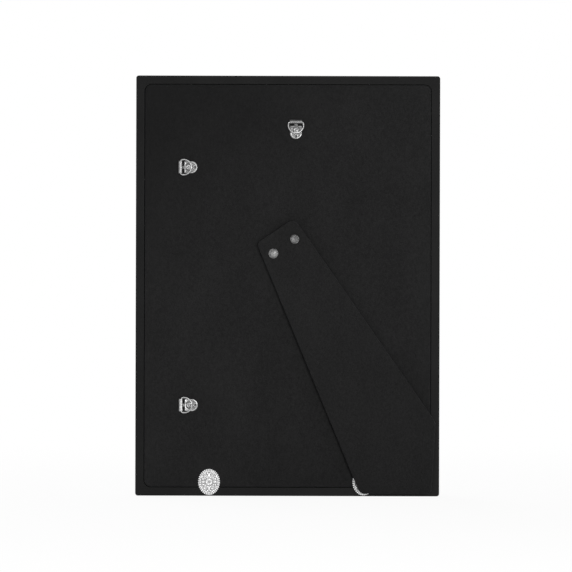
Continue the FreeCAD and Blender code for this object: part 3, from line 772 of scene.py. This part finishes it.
def lattice(border, grid, clear):
    """Grid points inside the border and away from the points to keep clear of."""
    low, high = border.min(0), border.max(0)
    columns = np.arange(low[0] + grid / 2, high[0], grid)
    rows = np.arange(low[1] + grid / 2, high[1], grid * lattice_row_share)
    points = np.array([(x + (k % 2) * grid / 2, y) for k, y in enumerate(rows) for x in columns])
    points = points[inside(points, border)]
    least = (grid * lattice_clear_share) ** 2
    return [p for p in points if np.min(np.sum((clear - p) ** 2, axis=1)) > least]


def skin(mesh, border, points):
    """Fills the border's loop through the inner points, each (x, y, z) or (x, y, z, worn)."""
    count = len(border)
    flat = [Vector(v.co.xy) for v in border] + [Vector(p[:2]) for p in points]
    edges = [(i, (i + 1) % count) for i in range(count)]
    verts, _, faces, sources = delaunay_2d_cdt(flat, edges, [], 1, near_enough)[:4]
    top = []
    for place, source in zip(verts, sources):
        first = min(source)
        if first < count:
            top.append(border[first])
        else:
            inner = points[first - count]
            top.append(point(mesh, inner[:3], *inner[3:]))
    for face in faces:
        mesh.faces.new([top[i] for i in face])


def rounded_loops(mesh, outline, top, edge, steps=4):
    """Loops from the top face out over a round edge, the top one first."""
    loops = []
    for k in range(steps + 1):
        angle = math.pi / 2 * k / steps
        height = top - edge * (1 - math.cos(angle))
        loops.append(loop_of(mesh, outline, edge * (1 - math.sin(angle)), height))
    return loops


def slab(mesh, outline, low, high, edge, grid, relief):
    """A plate with soft upper edges; the relief gives each point's rise and wear."""
    loops = rounded_loops(mesh, outline, high, edge, 3)
    loops.append(loop_of(mesh, outline, 0, low))
    bridge(mesh, loops)
    mesh.faces.new(loops[-1])
    border = np.array([v.co.xy for v in loops[0]])
    points = []
    for x, y in lattice(border, grid, border):
        rise, wear_and_painted_light = relief(x, y)
        points.append((x, y, high + rise, wear_and_painted_light))
    skin(mesh, loops[0], points)


# Velvet covers
def cover_mesh(outline, low, top, grid, pressed):
    """Velvet over a board, with a soft edge, walls, a thin rim and an inner face.
    Round the outlines that are pressed into it the pile dips."""
    mesh = new_mesh()
    loops = rounded_loops(mesh, outline, top, velvet_edge_round)
    rim = velvet_rim_round
    loops.append(loop_of(mesh, outline, 0, low + rim))
    loops.append(loop_of(mesh, outline, rim, low))
    loops.append(loop_of(mesh, outline, velvet_sheet - rim / 2, low))
    loops.append(loop_of(mesh, outline, velvet_sheet, low + rim))
    loops.append(loop_of(mesh, outline, velvet_sheet, top - velvet_sheet))
    bridge(mesh, loops)
    mesh.faces.new(loops[-1])
    border = np.array([v.co.xy for v in loops[0]])
    points = []
    clear = [border]
    for pressed_outline in pressed:
        for offset, dip in pressed_rings:
            ring = np.array([p + n * offset for p, n in pressed_outline])
            ring = ring[inside(ring, border)]
            if len(ring):
                points += [(x, y, top - dip) for x, y in ring]
                clear.append(ring)
    points += [(x, y, top) for x, y in lattice(border, grid, np.concatenate(clear))]
    skin(mesh, loops[0], points)
    return mesh


on_back = place_of(Vector((0, 0, 0)), ACROSS, DOWN)


def flat_middle(node):
    """The node's middle and half size on the back, as x and down."""
    low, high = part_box(node)
    middle, half = (low + high) / 2, (high - low) / 2
    return Vector((middle.x, -middle.z)), half.x, half.z


def tongue_outline(name):
    """Round the tongue of a hanger's strap, on the back."""
    place = hanger_place(name)
    corners = []
    for x, y in rectangle(strap_half_width, strap_pad_start, strap_end_reach):
        corner = place @ Vector((x, y, 0))
        corners.append((corner.x, -corner.z))
    end_radius = strap_half_width * pressed_end_share
    radii = [strap_corner_radius] * 2 + [end_radius] * 2
    return outline_of(corners, radii, pressed_outline_step)


def back_cover(material):
    low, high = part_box("back_velvet")
    corners = ((low.x, -low.z), (high.x, -low.z), (high.x, -high.z), (low.x, -high.z))
    outline = outline_of(corners, [panel_corner_radius] * 4)
    pressed = [tongue_outline(name) for name in hangers]
    pressed += [oval_outline(*flat_middle(name)) for name in medallions]
    mesh = cover_mesh(outline, low.y, high.y, panel_grid, pressed)
    cover = finished("back_cover", mesh, on_back, material, "back_panel", "back_velvet")


def leg_outline_corners():
    """The leg's corners on the back: its slanting top, then its side and foot."""
    half = leg_top_width / 2
    aside, rise = half * math.cos(leg_tilt), half * math.sin(leg_tilt)
    inner_top = (leg_top_aside + aside, leg_top_height - rise)
    outer_top = (leg_top_aside - aside, leg_top_height + rise)
    shoulder = moulding_side + leg_side_shoulder_inset
    shoulder_height = outer_top[1] - (outer_top[0] - shoulder) / math.tan(leg_outer_edge_angle)
    inner_foot = inner_top[0] - (inner_top[1] - leg_foot_lift) * math.tan(leg_inner_edge_angle)
    outer_foot = moulding_side + leg_side_foot_inset
    side = [(shoulder, shoulder_height), (outer_foot, leg_foot_lift), (inner_foot, leg_foot_lift)]
    return [(x, -z) for x, z in [inner_top, outer_top] + side]


def leg_cover(material):
    low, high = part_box("leg_velvet")
    outline = outline_of(leg_outline_corners(), leg_radii)
    pressed = [oval_outline(*flat_middle(name), rivet_outline_steps) for name in leg_rivets]
    mesh = cover_mesh(outline, low.y, high.y, leg_grid, pressed)
    cover = finished("leg_cover", mesh, on_back, material, "leg", "leg_velvet")


# Hangers
def hanger_place(name):
    """From the strap's own plane, whose origin is on the panel under the ring's bar."""
    joint = next(j for j in frame["joints"] if j["child"] == name + "_ring")
    base = Vector(joint["pos_m"])
    base.y = panel_top
    across = Vector(joint["axis"]).normalized()
    return place_of(base, across, OUT.cross(across))


def ridge(away, half_width, height):
    """A half-round ridge's height at a distance from its crest."""
    return height * math.sqrt(max(0.0, 1 - (away / half_width) ** 2))


def fold_relief(x, y):
    """Upper layer: a rolled front edge with a painted highlight, and a dish round the rivet with painted
    shade.
    """
    front = ridge(y - strap_pad_start - fold_front_inset, fold_front_half_width, fold_press)
    away = math.hypot(x, y - strap_rivet_reach)
    dish = ridge(away - rivet_dish_radius, rivet_dish_half_width, fold_press)
    # Painted highlight on the rolled front edge and painted shade in the dish
    return front - dish, 0.35 + 0.5 * front / fold_press - 0.35 * dish / fold_press


def tongue_relief(x, y):
    """Lower layer: a raised border round its end and a lip round a dimple, both with a painted
    highlight, painted shade in the dimple and a painted shadow beside the fold.
    """
    centre = strap_end_reach - strap_half_width
    inset = strap_half_width - (math.hypot(x, y - centre) if y > centre else abs(x))
    border = ridge(inset - tongue_border_inset, tongue_border_half_width, tongue_border_height)
    away = math.hypot(x, y - tongue_dimple_reach)
    dimple = ridge(away, tongue_dimple_radius, tongue_dimple_depth)
    lip = ridge(away - tongue_lip_radius, tongue_lip_half_width, tongue_lip_height)
    # Painted shadow on the tongue beside the fold, fading out away from it
    fold_centre = strap_fold_reach - strap_fold_end_radius
    past = math.hypot(x, max(0.0, y - fold_centre)) - strap_fold_end_radius
    beside = max(0.0, 1 - past / fold_painted_shadow_reach) if past > 0 else 1.0
    # Painted highlight on the border and the lip, painted shade in the dimple
    wear_and_painted_light = 0.253 + 0.8625 * border / tongue_border_height
    wear_and_painted_light += 0.46 * lip / tongue_lip_height - 0.253 * dimple / tongue_dimple_depth
    return border + lip - dimple, wear_and_painted_light * (1 - min(1.0, beside))


def fold_path():
    """Points and normals over the fold of the strap, from its free edge round to the neck."""
    outer = eye_inner_radius + hanger_sheet
    found = []
    for k in range(roll_front_steps + 1):
        angle = eye_slit_start + (math.pi / 2 - eye_slit_start) * k / roll_front_steps
        place = Vector((outer * math.cos(angle), outer * (1 + math.sin(angle))))
        found.append((place, angle))
    for k in range(roll_back_steps + 1):
        angle = math.pi / 2 + math.pi * k / roll_back_steps
        place = Vector((outer * math.cos(angle) - eye_stretch, outer * (1 + math.sin(angle))))
        found.append((place, angle))
    found.append((Vector((0, 0)), -math.pi / 2))
    return found


def roll_row(mesh, middle, angle, teeth):
    """A row of points across the roll, which is drawn in at its ends and by the teeth, with a painted
    highlight on the roll and painted shade in the teeth.
    """
    row = []
    for k in range(roll_steps + 1):
        x = eye_half_width * (2 * k / roll_steps - 1)
        raised = 0.0
        if teeth:
            behind = max(0.0, 1 - abs(angle - teeth_middle) / teeth_spread)
            wave = 0.5 - 0.5 * math.cos(2 * math.pi * x / tooth_pitch)
            raised = -tooth_depth * behind * wave
        end = max(0.0, 1 - (eye_half_width - abs(x)) / roll_end_round)
        away = raised - roll_end_drop * end ** 2
        on_roll = (x, middle.x + away * math.cos(angle), middle.y + away * math.sin(angle))
        # Painted highlight on the roll, darker in the teeth as painted shade
        row.append(point(mesh, on_roll, roll_painted_highlight + tooth_painted_shade * raised))
    return row


def eye_roll(mesh, teeth):
    """The roll that holds the ring's bar; teeth are pressed into the top hanger's back edge."""
    rows = [roll_row(mesh, middle, angle, teeth) for middle, angle in fold_path()]
    inner = []
    # Painted shade inside the eye
    for middle, angle in fold_path():
        y = middle.x - hanger_sheet * math.cos(angle)
        z = middle.y - hanger_sheet * math.sin(angle)
        inner.append([point(mesh, (side * eye_half_width, y, z), eye_inside_painted_shade) for side in (-1, 1)])
    for a, b in zip(rows, rows[1:]):
        for k in range(roll_steps):
            mesh.faces.new((a[k], a[k + 1], b[k + 1], b[k]))
    for (a, p), (b, q) in zip(zip(rows, inner), zip(rows[1:], inner[1:])):
        mesh.faces.new((p[0], p[1], q[1], q[0]))
        mesh.faces.new((a[0], b[0], q[0], p[0]))
        mesh.faces.new((a[-1], b[-1], q[1], p[1]))
    for row, pair in ((rows[0], inner[0]), (rows[-1], inner[-1])):
        mesh.faces.new(row + [pair[1], pair[0]])


def strap_layer(mesh, half_width, end, radii, arc_steps, low, relief):
    """One flat layer of the strap, from the start of its pad."""
    corners = rectangle(half_width, strap_pad_start, end)
    outline = outline_of(corners, radii, strap_outline_step, arc_steps)
    slab(mesh, outline, low, low + hanger_sheet, strap_edge_round, strap_grid, relief)


def strap_neck(mesh):
    """The narrow neck between the pad and the roll, with painted shade."""
    corners = rectangle(strap_neck_half_width, 0, strap_pad_start + strap_neck_lap)
    radii = [strap_neck_corner_radius] * 4
    outline = outline_of(corners, radii, strap_outline_step, neck_arc_steps)
    top = hanger_sheet * strap_neck_sheet_share
    slab(mesh, outline, 0, top, strap_edge_round / 2, strap_grid, lambda x, y: (0.0, neck_painted_shade))


def strap(name, material):
    """A strap folded over the ring's bar: roll, neck, short upper layer and long tongue.
    Up to the end of the fold, each hanger's tone is scaled by its own painted light, lighter or darker
    as the light falls on it."""
    mesh = new_mesh()
    end_radii = [strap_corner_radius] * 2 + [strap_end_radius] * 2
    strap_layer(mesh, strap_half_width, strap_end_reach, end_radii, tongue_arc_steps, 0, tongue_relief)
    fold_half = strap_half_width - strap_step_inset
    fold_radii = [strap_fold_corner_radius] * 2 + [strap_fold_end_radius] * 2
    strap_layer(mesh, fold_half, strap_fold_reach, fold_radii, fold_arc_steps, hanger_sheet, fold_relief)
    strap_neck(mesh)
    eye_roll(mesh, name == "top_hanger")
    # Painted light: each hanger's fold is made lighter or darker by its own factor
    layer = mesh.verts.layers.float["wear_and_painted_light"]
    for corner in mesh.verts:
        if corner.co.y < strap_fold_reach:
            corner[layer] *= hanger_painted_light[name]
    piece, node = name + "_folded_strap", name + "_strap"
    place = hanger_place(name)
    finished(piece, mesh, place, material, "back_panel", node, smooth=40)


# Medallions
def leaf_relief(onward, aside, leaf):
    """A pointed leaf with a vein along its middle."""
    start, length = leaf
    t = (onward - start) / length
    if not 0 < t < 1:
        return 0.0
    half = leaf_half_width * math.sin(math.pi * t) ** leaf_fullness
    if abs(aside) >= half:
        return 0.0
    vein = leaf_vein * math.exp(-((aside / leaf_vein_half_width) ** 2))
    return max(0.0, ridge(aside, half, leaf_height) - vein)


def scroll_relief(x, y):
    """A spiral ridge of one and a half turns round an eye."""
    away = math.hypot(x, y)
    turn = (math.atan2(y, x) + math.pi) / (2 * math.pi)
    top = ridge(away, scroll_eye_radius, scroll_eye_height)
    for lap in range(2):
        crest = scroll_outer - scroll_step * (turn + lap)
        if crest > scroll_half_width:
            top = max(top, ridge(away - crest, scroll_half_width, scroll_height))
    return top


def rosette_relief(x, y):
    """A grooved boss in a ring of dimpled petals."""
    away = math.hypot(x, y)
    groove = boss_groove * math.exp(-(((away - boss_groove_radius) / boss_groove_half_width) ** 2))
    top = max(0.0, ridge(away, boss_radius, boss_height) - groove)
    for i in range(petals):
        turn = 2 * math.pi * i / petals
        petal = math.hypot(x - petal_reach * math.sin(turn), y - petal_reach * math.cos(turn))
        dimple = petal_dimple * math.exp(-((petal / petal_dimple_radius) ** 2))
        top = max(top, ridge(petal, petal_radius, petal_height) - dimple)
    return top


def ornament_relief(x, y):
    """A rosette, then in each quarter a scroll with buds, and a leaf on each side."""
    x, y = abs(x), abs(y)
    top = rosette_relief(x, y)
    for aside, rise, radius in buds:
        away = math.hypot(x - aside * MM, y - rise * MM)
        top = max(top, ridge(away, radius * MM, bud_height))
    top = max(top, scroll_relief(x - scroll_aside, y - scroll_rise))
    return max(top, leaf_relief(y, x, end_leaf), leaf_relief(x, y, side_leaf))


def face_relief(x, y, share, angle):
    """Height of the medallion's ground above its back, and the rise of what is on it."""
    ground = field_height + (crown_height - field_height) * max(0.0, 1 - share ** 2)
    lobes = ridge(share - lobe_share, lobe_half_width_share, lobe_height)
    lobes *= abs(math.sin(bead_count / 2 * angle)) ** lobe_fullness
    return ground, max(lobes, ornament_relief(x, y))


def medallion(node, material):
    """An oval with a beaded border, a rim and an ornament on its crowned field."""
    middle, half_width, half_height = flat_middle(node)
    steps = bead_count * bead_steps
    mesh = new_mesh()
    loops = []
    for share in np.linspace(medallion_first_share, 1.0, medallion_loops):
        loop = []
        for i in range(steps):
            angle = 2 * math.pi * i / steps
            phase = (i % bead_steps) / bead_steps
            edge = scallop_valley_share + (1 - scallop_valley_share) * math.sin(math.pi * phase)
            out = max(0.0, (share - bead_centre_share) / (1 - bead_centre_share))
            real = min(share, bead_centre_share) + out * (edge - bead_centre_share)
            x, y = half_width * real * math.cos(angle), half_height * real * math.sin(angle)
            bead = 2 * math.pi * ((i // bead_steps) + 0.5) / bead_count
            bead_x = half_width * bead_centre_share * math.cos(bead)
            bead_y = half_height * bead_centre_share * math.sin(bead)
            away = math.hypot(x - bead_x, y - bead_y)
            ground, rise = face_relief(x, y, real, angle)
            if away < bead_radius:
                rise = max(rise, bead_lift + math.sqrt(bead_radius ** 2 - away ** 2) - ground)
            height = wall_height if share == 1 else ground + rise
            loop.append(point(mesh, (x, y, height), min(1.0, rise / rubbed_height)))
        loops.append(loop)
    loops.append([point(mesh, (v.co.x, v.co.y, 0), 0.0) for v in loops[-1]])
    bridge(mesh, loops)
    mesh.faces.new(loops[0])
    mesh.faces.new(loops[-1])
    place = place_of(Vector((middle.x, panel_top, -middle.y)), ACROSS, DOWN)
    finished(node + "_relief", mesh, place, material, "back_panel", node, smooth=50)


def dress_back():
    """The velvet covers and the medallions."""
    velvet = velvet_material()
    back_cover(velvet)
    leg_cover(velvet)
    silver = silver_material()
    for node in medallions:
        medallion(node, silver)


def dress_frame():
    """The moulding and its glass."""
    dress("frame_moulding", moulding_material())
    dress("glass_pane", glass_material())


def dress_sheets():
    """The print, the card, the linings and the boards."""
    print_paper = paper_material("print", 0.835, 0.86, fibre=0.3 * MM, depth=0.02 * MM, warmth=0.012)
    card = paper_material("card", 0.36, 0.44, fibre=0.5 * MM, depth=0.05 * MM, warmth=0.03)
    lining = paper_material("lining", 0.024, 0.034, fibre=0.4 * MM, depth=0.04 * MM)
    board = fibreboard_material()
    dress("picture_insert", print_paper)
    dress("filler_card", card)
    for body in ("back", "leg"):
        dress(body + "_lining", lining)
        dress(body + "_board", board)


def dress_hinge():
    """The leg's hinge and its rivets, of which the outer one is duller."""
    hinge = hinge_material()
    for node in ("hinge_panel_leaf", "hinge_leg_leaf", "hinge_pin"):
        dress(node, hinge)
    nickel = plated_material(
        "rivet_nickel", light=0.21, dark=0.14, rough=(0.36, 0.52), grain=0.3 * MM, spots=0.85, bright=0.6
    )
    dull = plated_material(
        "rivet_dull", light=0.14, dark=0.065, rough=(0.36, 0.55), grain=0.35 * MM, spots=0.95, bright=0.7
    )
    dress("hinge_panel_rivets", nickel)
    dress("leg_rivet_inner", nickel)
    dress("leg_rivet_outer", dull)


def dress_hangers():
    """Three hangers, each a strap, a ring and a rivet."""
    steel = plated_material(
        "hanger_steel", light=0.36, dark=0.03, rough=(0.28, 0.44), grain=0.25 * MM, spots=0.35,
        bright=0.5, pressed=True,
    )
    wire = plated_material(
        "ring_wire", light=0.46, dark=0.32, rough=(0.26, 0.42), grain=0.2 * MM, spots=0.25, bright=0.0
    )
    eyelet = plated_material(
        "eyelet_nickel", light=0.4, dark=0.2, rough=(0.24, 0.4), grain=0.25 * MM, spots=0.4, bright=0.6
    )
    for name in hangers:
        strap(name, steel)
        dress(name + "_ring", wire)
        dress(name + "_rivet", eyelet)


studio()
dress_back()
dress_frame()
dress_sheets()
dress_hinge()
dress_hangers()
